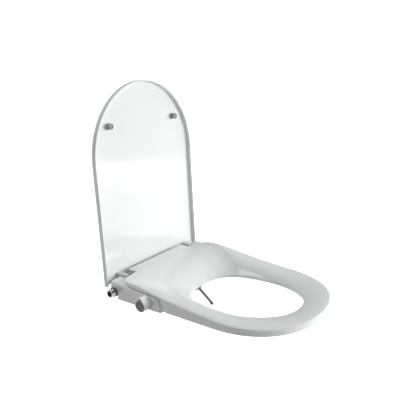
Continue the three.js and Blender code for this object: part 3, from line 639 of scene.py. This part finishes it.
def side_block(side, wall, inner, steps=12):
    """The side outline as a block out to the base's side, with the edge round that side rounded."""
    radius, drop = BASE_EDGE - wall, BASE_EDGE_DROP
    places = [(inner, wall)]
    for i in range(steps + 1):
        turn = math.pi / 2 * i / steps
        x = BASE_HALF - wall - radius * (1 - math.sin(turn))
        places.append((x, wall + drop * (1 - math.cos(turn))))
    loops = [[(side * x, y, z) for y, z in side_outline(inset)] for x, inset in places]
    return loft(loops, cap_ends=True)


def side_cover(node, side, holes):
    """One pod with its side wall, hollow from below, and open where the lid's arm comes through.

    holes are (y, z, radius) through the side wall, on the -X side only.
    """
    wall = COVER_WALL
    slot = span("lid_arm_left", 0)[1] + SLOT_GAP
    front = span("centre_cover", 1)[0]

    def across(low, high):
        return tuple(sorted((side * low, side * high)))

    def roof(drop):
        """All that lies above the slope under the seat, lowered by drop."""
        (outer, high), (inner, low) = SLOPE_OUTER, SLOPE_INNER
        edge = [(outer, high - drop), (outer, 60), (inner, 60), (inner, low - drop)]
        rows = [[(side * x, y, z) for x, z in edge] for y in (POD_FRONT - 12, front + drop)]
        return loft(rows, cap_ends=True)

    # what is cut from the hollow stays solid in the cover
    hollow_bm = side_block(side, wall, 90.0)
    hollow = finish_mesh("hollow", mesh_of("hollow", hollow_bm), "base", WHITE)
    for cutter in (
        roof(wall),
        block(across(0, POD_INNER + wall), (-FAR, front + wall), (BELOW, ABOVE)),
        # walls beside and under the slot
        block(across(0, slot + SLOT_RIB), (SLOT_FRONT - wall, BEHIND), (SLOT_LOW - wall, ABOVE)),
        # wall above the raised underside
        block(across(0, FAR), (CUTAWAY_FROM - wall, BEHIND), (BELOW, CUTAWAY + wall)),
        block(across(0, FAR), (PIN_BOSS_FRONT, BEHIND), (PIN_BOSS_LOW, ABOVE)),
    ):
        cut_by(hollow, cutter)
    inside = bmesh.new()
    inside.from_mesh(hollow.data)
    bmesh.ops.scale(inside, vec=(1 / MM, 1 / MM, 1 / MM), verts=inside.verts)
    bpy.data.objects.remove(hollow)

    cover_bm = side_block(side, 0.0, COVER_INNER)
    cover = finish_mesh(node + "_moulded", mesh_of(node, cover_bm), "base", WHITE, (node,))
    cutters = [
        block(across(0, FAR), (-FAR, BEHIND), (BELOW, 0)),
        block(across(0, FAR), (CUTAWAY_FROM, BEHIND), (BELOW, CUTAWAY)),
        block(across(0, POD_INNER), (-FAR, front), (BELOW, ABOVE)),
        roof(0.0),
        inside,
        # the slot, with a wall left behind the gap between the arm and the seat's tongue
        block(across(SLOT_WALL, slot), (SLOT_FRONT, BEHIND), (SLOT_LOW, ABOVE)),
        block(across(0, SLOT_WALL + 1), (SLOT_FRONT, SLOT_WALL_FRONT), (SLOT_LOW, ABOVE)),
        block(across(0, SLOT_WALL + 1), (SLOT_FRONT, BEHIND), (SLOT_WALL_TOP, ABOVE)),
    ]
    for y, z, radius in holes:
        tube = [(-190, 0, 0), (-190, radius, 0), (-175, radius, 0), (-175, 0, 0)]
        cutters.append(turned(tube, (0, y, z), (1, 0, 0), 48))
    for cutter in cutters:
        cut_by(cover, cutter)
    cover.data.shade_smooth()
    cover.data.set_sharp_from_angle(angle=math.radians(30))
    soften(cover, 0.6)


SPINDLE_HOLE, INLET_HOLE = 6.0, 6.1
FLANGE_BORE, FLANGE_R = 6.2, 12
INLET_SEAT_X = -176.0  # inner face of the boss through which the inlet's neck passes


def make_base():
    knob, inlet = centre("knob_spindle"), centre("inlet_connector")
    holes = [(knob.y, knob.z, SPINDLE_HOLE), (inlet.y, inlet.z, INLET_HOLE)]
    side_cover("control_side_cover", -1, holes)
    # flat seat for the inlet's nut, where the side's edge is rounded
    rim = span("inlet_nut", 1)[1] - inlet.y - 0.2
    outer, inner = 0.1 - BASE_HALF, INLET_SEAT_X
    seat = [
        (outer, FLANGE_BORE, 0.3),
        (outer, rim, 0.6),
        (inner, rim, 0.3),
        (inner, FLANGE_BORE, 0.3),
    ]
    mesh = mesh_of("inlet_seat", turned(seat, (0, inlet.y, inlet.z), (1, 0, 0)))
    finish_mesh("inlet_seat", mesh, "base", WHITE)
    side_cover("plain_side_cover", 1, [])
    finished_node("centre_cover", "base", WHITE, 0.5)
    for node in ("base_plate", "side_plate_right", "side_plate_left"):
        finished_node(node, "base", PLATE_GREY, 0.4)
    finished_node("mounting_bracket", "base", STEEL, 0.4)
    finished_node("nozzle_guard", "base", ARM_GREY, 0.35)
    finished_node("nozzle_housing", "base", DARK, 0.5)


# ---------------------------------------------------------------- inlet
INLET_NECK = 5.8
THREAD_R, THREAD_DEPTH, THREAD_PITCH = 10.4, 0.55, 1.8
BORE_R, BORE_DEPTH = 7.5, 12.6


def make_inlet():
    """The threaded inlet stub with its bore and hose tail, and the flange that clamps it."""
    low, high = span("inlet_connector", 0)
    y, z = centre("inlet_connector")[1:]
    start, end = low + 1.2, span("inlet_nut", 0)[0] - 0.4
    segments, rows = 72, 96
    rings = []
    deep = low + BORE_DEPTH
    bore = [(deep, 0.0), (deep, BORE_R), (low + 0.4, BORE_R), (low, 7.9), (low, 9.3), (low + 0.3, 9.6)]
    for along, radius in bore:
        rings.append((along, [radius] * segments))
    for i in range(rows + 1):
        x = start + (end - start) * i / rows
        fade = min(1, (x - start) / THREAD_PITCH, (end - x) / THREAD_PITCH)
        radii = []
        for k in range(segments):
            phase = ((x - start) / THREAD_PITCH - k / segments) % 1
            groove = THREAD_DEPTH * (1 - abs(2 * phase - 1))
            radii.append(THREAD_R - 0.25 - groove * fade)
        rings.append((x, radii))
    tail = [
        (end + 0.2, THREAD_R - 0.2),
        (end + 0.4, INLET_NECK),
        (high - 16, INLET_NECK),
        (high, 4.0),
        (high, 0.0),
    ]
    for along, radius in tail:
        rings.append((along, [radius] * segments))
    loops = []
    for x, radii in rings:
        loop = []
        for k, radius in enumerate(radii):
            turn = 2 * math.pi * k / segments
            loop.append((x, y + radius * math.cos(turn), z + radius * math.sin(turn)))
        loops.append(loop)
    mesh = mesh_of("inlet_stub", loft(loops))
    finish_mesh("inlet_stub", mesh, "base", STEEL, ("inlet_connector",), sharp=40)

    near, far = span("inlet_nut", 0)
    nut = [
        (near, FLANGE_BORE, 0.2),
        (near, FLANGE_R - 0.8, 0.9),
        (near + 0.9, FLANGE_R, 0.4),
        (far, FLANGE_R, 0.5),
        (far, FLANGE_BORE, 0.2),
    ]
    mesh = mesh_of("inlet_flange", turned(nut, (0, y, z), (1, 0, 0)))
    finish_mesh("inlet_flange", mesh, "base", BLACK, ("inlet_nut",))


# ---------------------------------------------------------------- knob
KNOB_R, KNOB_FLARE = 14.8, 0.4  # at its face, and how much more at its back
LOBE_R, LOBE_UP, LOBE_FALL = 7.2, 14.6, 1.6  # the lobe on top sinks by its fall towards the back
FACE_R = 13.0  # of the disc in the knob's face
POINTER_HALF, POINTER_UP = 2.8, 14.8
HOLLOW_INNER, HOLLOW_OUTER, HOLLOW_DEPTH = 6.5, 11.6, 6  # in the knob's back, round its hub


def knob_loop(x, y, z, inset, share):
    """The knob's outline at x, shrunk by inset: a circle with a round lobe on top.

    share runs from 0 at the knob's face to 1 at its back.
    """
    radius, lobe = KNOB_R + KNOB_FLARE * share - inset, LOBE_R - inset
    up = LOBE_UP - LOBE_FALL * share
    half = math.acos((radius - lobe) / up)
    points = []
    for k in range(73):
        turn = half + (2 * math.pi - 2 * half) * k / 72
        points.append((x, y + radius * math.sin(turn), z + radius * math.cos(turn)))
    for k in range(1, 24):
        turn = half * (2 * k / 24 - 1)
        points.append((x, y + lobe * math.sin(turn), z + up + lobe * math.cos(turn)))
    return points


def pointer_block(x, y, half, low, high):
    """An upright bar with a round top, as a bmesh; high is where the round top is centred."""
    rows = []
    for depth in x:
        row = [(depth, y - half, low), (depth, y + half, low)]
        row += [
            (depth, y + half * math.cos(math.pi * k / 16), high + half * math.sin(math.pi * k / 16))
            for k in range(17)
        ]
        rows.append(row)
    return loft(rows, cap_ends=True)


def make_knob():
    face, back = span("knob", 0)
    spindle = centre("knob_spindle")
    y, z = spindle.y, spindle.z
    shape = [
        (face, 0.9),
        (face + 0.12, 0.5),
        (face + 0.4, 0.16),
        (face + 0.9, 0),
        (back - 0.9, 0),
        (back - 0.3, 0.2),
        (back, 0.7),
    ]
    loops = [knob_loop(x, y, z, inset, (x - face) / (back - face)) for x, inset in shape]
    mesh = mesh_of("knob_body", loft(loops, cap_ends=True))
    knob = finish_mesh("knob_body", mesh, "knob", KNOB_GREY, ("knob",))
    wide = FACE_R + GAP
    recess = [(face - 1, 0, 0), (face - 1, wide, 0), (face + 2, wide, 0), (face + 2, 0, 0)]
    deep = back - HOLLOW_DEPTH
    hollow = [
        (deep, HOLLOW_INNER, 0),
        (deep, HOLLOW_OUTER, 0),
        (back + 1, HOLLOW_OUTER, 0),
        (back + 1, HOLLOW_INNER, 0),
    ]
    cut_by(knob, turned(recess, (0, y, z), (1, 0, 0), 96))
    cut_by(knob, turned(hollow, (0, y, z), (1, 0, 0), 72))
    cut_by(knob, pointer_block((face - 1, face + 2), y, POINTER_HALF + GAP, z + 10, z + POINTER_UP))
    knob.data.shade_smooth()
    knob.data.set_sharp_from_angle(angle=math.radians(35))

    # a disc with a fine groove near its edge
    front, rear = face + 0.5, face + 1.7
    disc = [
        (front, 0, 0),
        (front, FACE_R - 2.0, 0.3),
        (front + 0.3, FACE_R - 1.7, 0.3),
        (front, FACE_R - 1.4, 0.3),
        (front, FACE_R, 0.5),
        (rear, FACE_R, 0.2),
        (rear, 0, 0),
    ]
    mesh = mesh_of("knob_disc", turned(disc, (0, y, z), (1, 0, 0), 96))
    finish_mesh("knob_disc", mesh, "knob", KNOB_FACE, ("knob_cap",))
    bar = pointer_block((face + 0.4, rear), y, POINTER_HALF, z + 11, z + POINTER_UP)
    piece = finish_mesh("knob_pointer", mesh_of("knob_pointer", bar), "knob", KNOB_FACE)
    soften(piece, 0.3)


# ---------------------------------------------------------------- nozzles
NOZZLE_R, NOZZLE_BORE = 4.0, 2.8
NOZZLE_TIP = 8.6  # length of the dark tip
NOZZLE_LENGTHS = {"front_nozzle": 76, "rear_nozzle": 52}


def make_nozzle(name):
    """A nozzle's tip and tube, turned about the line along which it slides."""
    length = NOZZLE_LENGTHS[name]
    out = Vector(JOINTS[name + "_slide"]["axis"])
    back = -out
    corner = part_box(name + "_tip")[0] / MM
    # from the corner of the tip's box in to the middle of its end face
    end = Vector((centre(name).x, corner.y, corner.z)) + Vector((0, back.z, back.y)) * NOZZLE_R
    tip = [(0, 0, 0), (0, NOZZLE_R, 1.6), (NOZZLE_TIP, NOZZLE_R, 0.25), (NOZZLE_TIP, 0, 0)]
    mesh = mesh_of(name + "_head", turned(tip, end, back, 56))
    finish_mesh(name + "_head", mesh, name, DARK, (name + "_tip",))
    start = NOZZLE_TIP + GAP
    tube = [
        (start, 0, 0),
        (start, NOZZLE_R, 0.3),
        (length, NOZZLE_R, 0.3),
        (length, NOZZLE_BORE, 0.1),
        (length - 6, NOZZLE_BORE, 0),
        (length - 6, 0, 0),
    ]
    mesh = mesh_of(name + "_tube", turned(tube, end, back, 56))
    finish_mesh(name + "_tube", mesh, name, TUBE_STEEL, (name,))


# ---------------------------------------------------------------- pieces that keep the frame's shape
def dress_frame_nodes():
    """Gives a material to each frame node that is shown as it is."""
    looks = {
        STEEL: ["hinge_pin_right", "hinge_pin_left", "knob_spindle"],
        BLACK: ["filter_screen"],
        DARK: ["valve_body"] + [n for n in frame["nodes"] if "_damper_" in n],
        HOSE: ["inlet_hose", "rear_wash_hose", "front_wash_hose"],
    }
    looks[STEEL] += [n for n in frame["nodes"] if "_screw_" in n]
    for material, nodes in looks.items():
        for node in nodes:
            mesh = frame["nodes"][node].data
            mesh.materials.clear()
            mesh.materials.append(material)


# ---------------------------------------------------------------- stage, light and camera
# name, place, aim, size, power in watts, and whether the light shows in reflections
LIGHTS = (
    ("key", (1.2, -2.4, 0.65), (0, 0, 0.25), (1.8, 1.4), 66, False),
    ("top", (-1.0, 0.5, 2.2), (0, -0.1, 0.1), (1.4, 1.4), 16, True),
    ("fill", (2.4, -0.6, 1.0), (0, -0.2, 0), (1.2, 1.2), 22, False),
)
ROOM_STRENGTH, BACKDROP_STRENGTH, FLOOR_GLOW = 0.25, 1.0, 0.95


def area_light(name, place, aim, size, power, glossy):
    data = bpy.data.lights.new(name, "AREA")
    data.shape = "RECTANGLE"
    data.size, data.size_y = size
    data.energy = power
    light = bpy.data.objects.new(name, data)
    bpy.context.scene.collection.objects.link(light)
    light.location = place
    light.visible_glossy = glossy
    light.rotation_mode = "QUATERNION"
    light.rotation_quaternion = (Vector(aim) - Vector(place)).to_track_quat("-Z", "Y")


def make_floor():
    material, tree, shader = new_material("pale_floor", (0.9, 0.9, 0.9), 0.8)
    vary_colour(tree, shader, noise(tree, 3, 3), (0.89, 0.89, 0.89), (0.91, 0.91, 0.91))
    shader.inputs["Emission Color"].default_value = (1, 1, 1, 1)
    shader.inputs["Emission Strength"].default_value = FLOOR_GLOW
    shader.inputs["Specular IOR Level"].default_value = 0.0
    height = CAD_BOX[0].z - 0.001
    bm = bmesh.new()
    bmesh.ops.create_circle(bm, cap_ends=True, segments=64, radius=30)
    bmesh.ops.translate(bm, vec=(0, 0, height), verts=bm.verts)
    mesh = bpy.data.meshes.new("floor")
    bm.to_mesh(mesh)
    bm.free()
    floor = bpy.data.objects.new("floor", mesh)
    bpy.context.scene.collection.objects.link(floor)
    mesh.materials.append(material)
    floor.visible_diffuse = False


def make_world():
    """A dim even room that lights the object from all round, and shows as plain white behind it."""
    world = bpy.data.worlds.new("studio")
    world.use_nodes = True
    tree = world.node_tree
    backdrop = tree.nodes["Background"]
    backdrop.inputs["Color"].default_value = (1, 1, 1, 1)
    backdrop.inputs["Strength"].default_value = BACKDROP_STRENGTH
    room = tree.nodes.new("ShaderNodeBackground")
    room.inputs["Color"].default_value = (1, 1, 1, 1)
    room.inputs["Strength"].default_value = ROOM_STRENGTH
    path = tree.nodes.new("ShaderNodeLightPath")
    mix = tree.nodes.new("ShaderNodeMixShader")
    tree.links.new(path.outputs["Is Camera Ray"], mix.inputs["Fac"])
    tree.links.new(room.outputs["Background"], mix.inputs[1])
    tree.links.new(backdrop.outputs["Background"], mix.inputs[2])
    tree.links.new(mix.outputs["Shader"], tree.nodes["World Output"].inputs["Surface"])
    bpy.context.scene.world = world


def make_stage():
    make_floor()
    make_world()
    bpy.context.scene.view_settings.view_transform = "Standard"
    for light in LIGHTS:
        area_light(*light)


CAMERA_PLACE = (-1.0844, -0.8955, 0.5973)
CAMERA_ANGLES = (-54.443, 17.316, 0.517)  # azimuth, elevation and roll in degrees
CAMERA_LENS, CAMERA_SHIFT = 48.03, (0.021, 0.026)


def make_camera():
    azimuth, elevation, roll = (math.radians(angle) for angle in CAMERA_ANGLES)
    back = Vector(
        (
            math.sin(azimuth) * math.cos(elevation),
            -math.cos(azimuth) * math.cos(elevation),
            math.sin(elevation),
        )
    )
    right = Vector((0, 0, 1)).cross(back).normalized()
    up = back.cross(right)
    level = Matrix((right, up, back)).transposed()
    data = bpy.data.cameras.new("camera")
    data.lens = CAMERA_LENS
    data.shift_x, data.shift_y = CAMERA_SHIFT
    camera = bpy.data.objects.new("camera", data)
    bpy.context.scene.collection.objects.link(camera)
    turn = (level @ Matrix.Rotation(-roll, 3, "Z")).to_4x4()
    camera.matrix_world = Matrix.Translation(CAMERA_PLACE) @ turn
    bpy.context.scene.camera = camera


make_camera()
make_seat()
make_lid()
make_base()
make_inlet()
make_knob()
for nozzle in NOZZLE_LENGTHS:
    make_nozzle(nozzle)
dress_frame_nodes()
make_stage()
